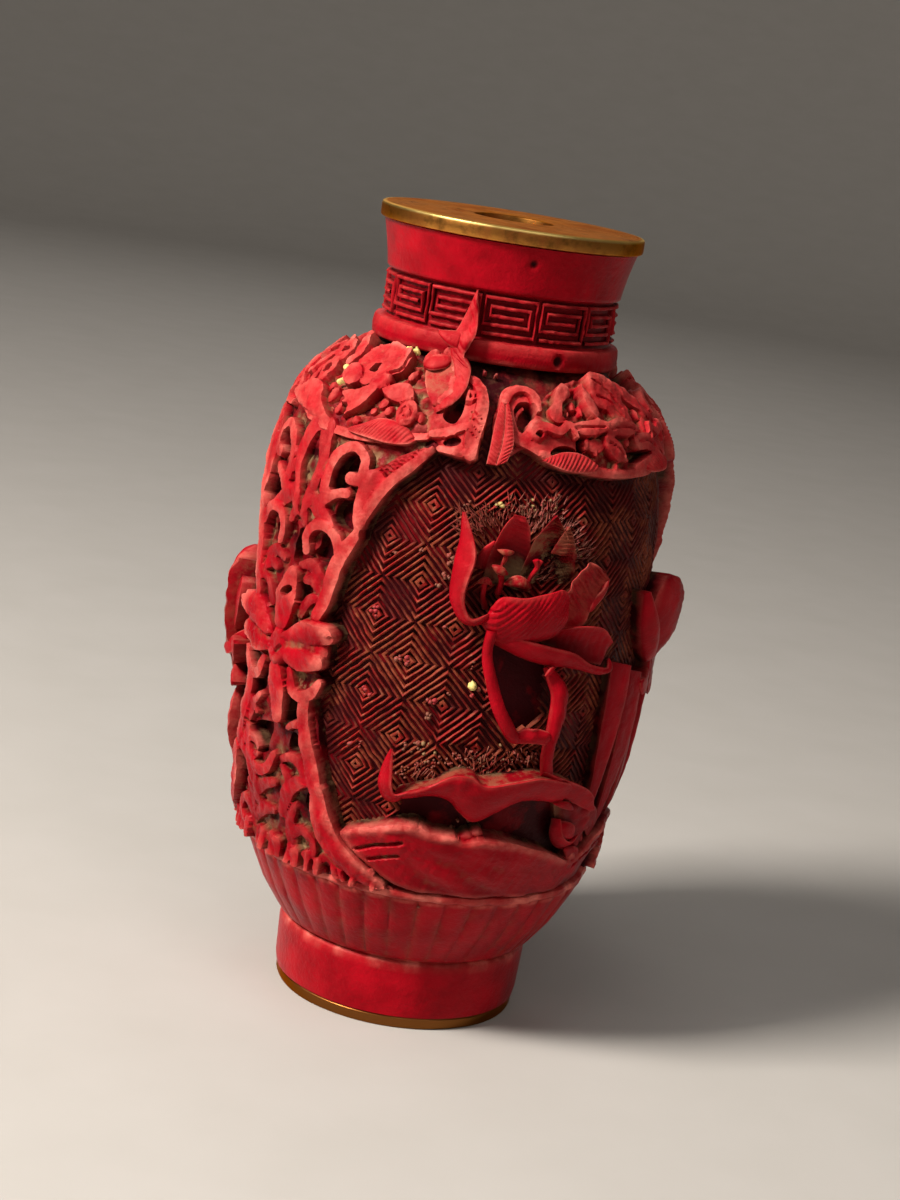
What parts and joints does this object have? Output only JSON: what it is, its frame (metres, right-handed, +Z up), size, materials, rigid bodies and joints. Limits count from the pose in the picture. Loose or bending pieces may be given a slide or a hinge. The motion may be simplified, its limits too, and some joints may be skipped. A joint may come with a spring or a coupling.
{
  "type": "lacquer perfume bottle",
  "caption": "Small baluster perfume bottle of carved red lacquer over brass, with lotus panels, openwork borders, a flat brass mouth disc and a brass foot.",
  "frame": {"origin": "middle of the flat underside of the foot", "axes": "+Z up through the mouth; the lotus panel's middle faces -Y, its fellow faces +Y, and the openwork borders face +X and -X"},
  "size_m": [0.0388, 0.0398, 0.072],
  "materials": {
    "brass": "aged turned brass, dull olive with worn bright edges",
    "carved_lacquer": "carved cinnabar-red lacquer, satin on the high parts, dark and dusty in the cuts"
  },
  "bodies": {
    "root": {"brass_bottle": "brass", "carved_lacquer_coat": "carved_lacquer"}
  },
  "joints": []
}
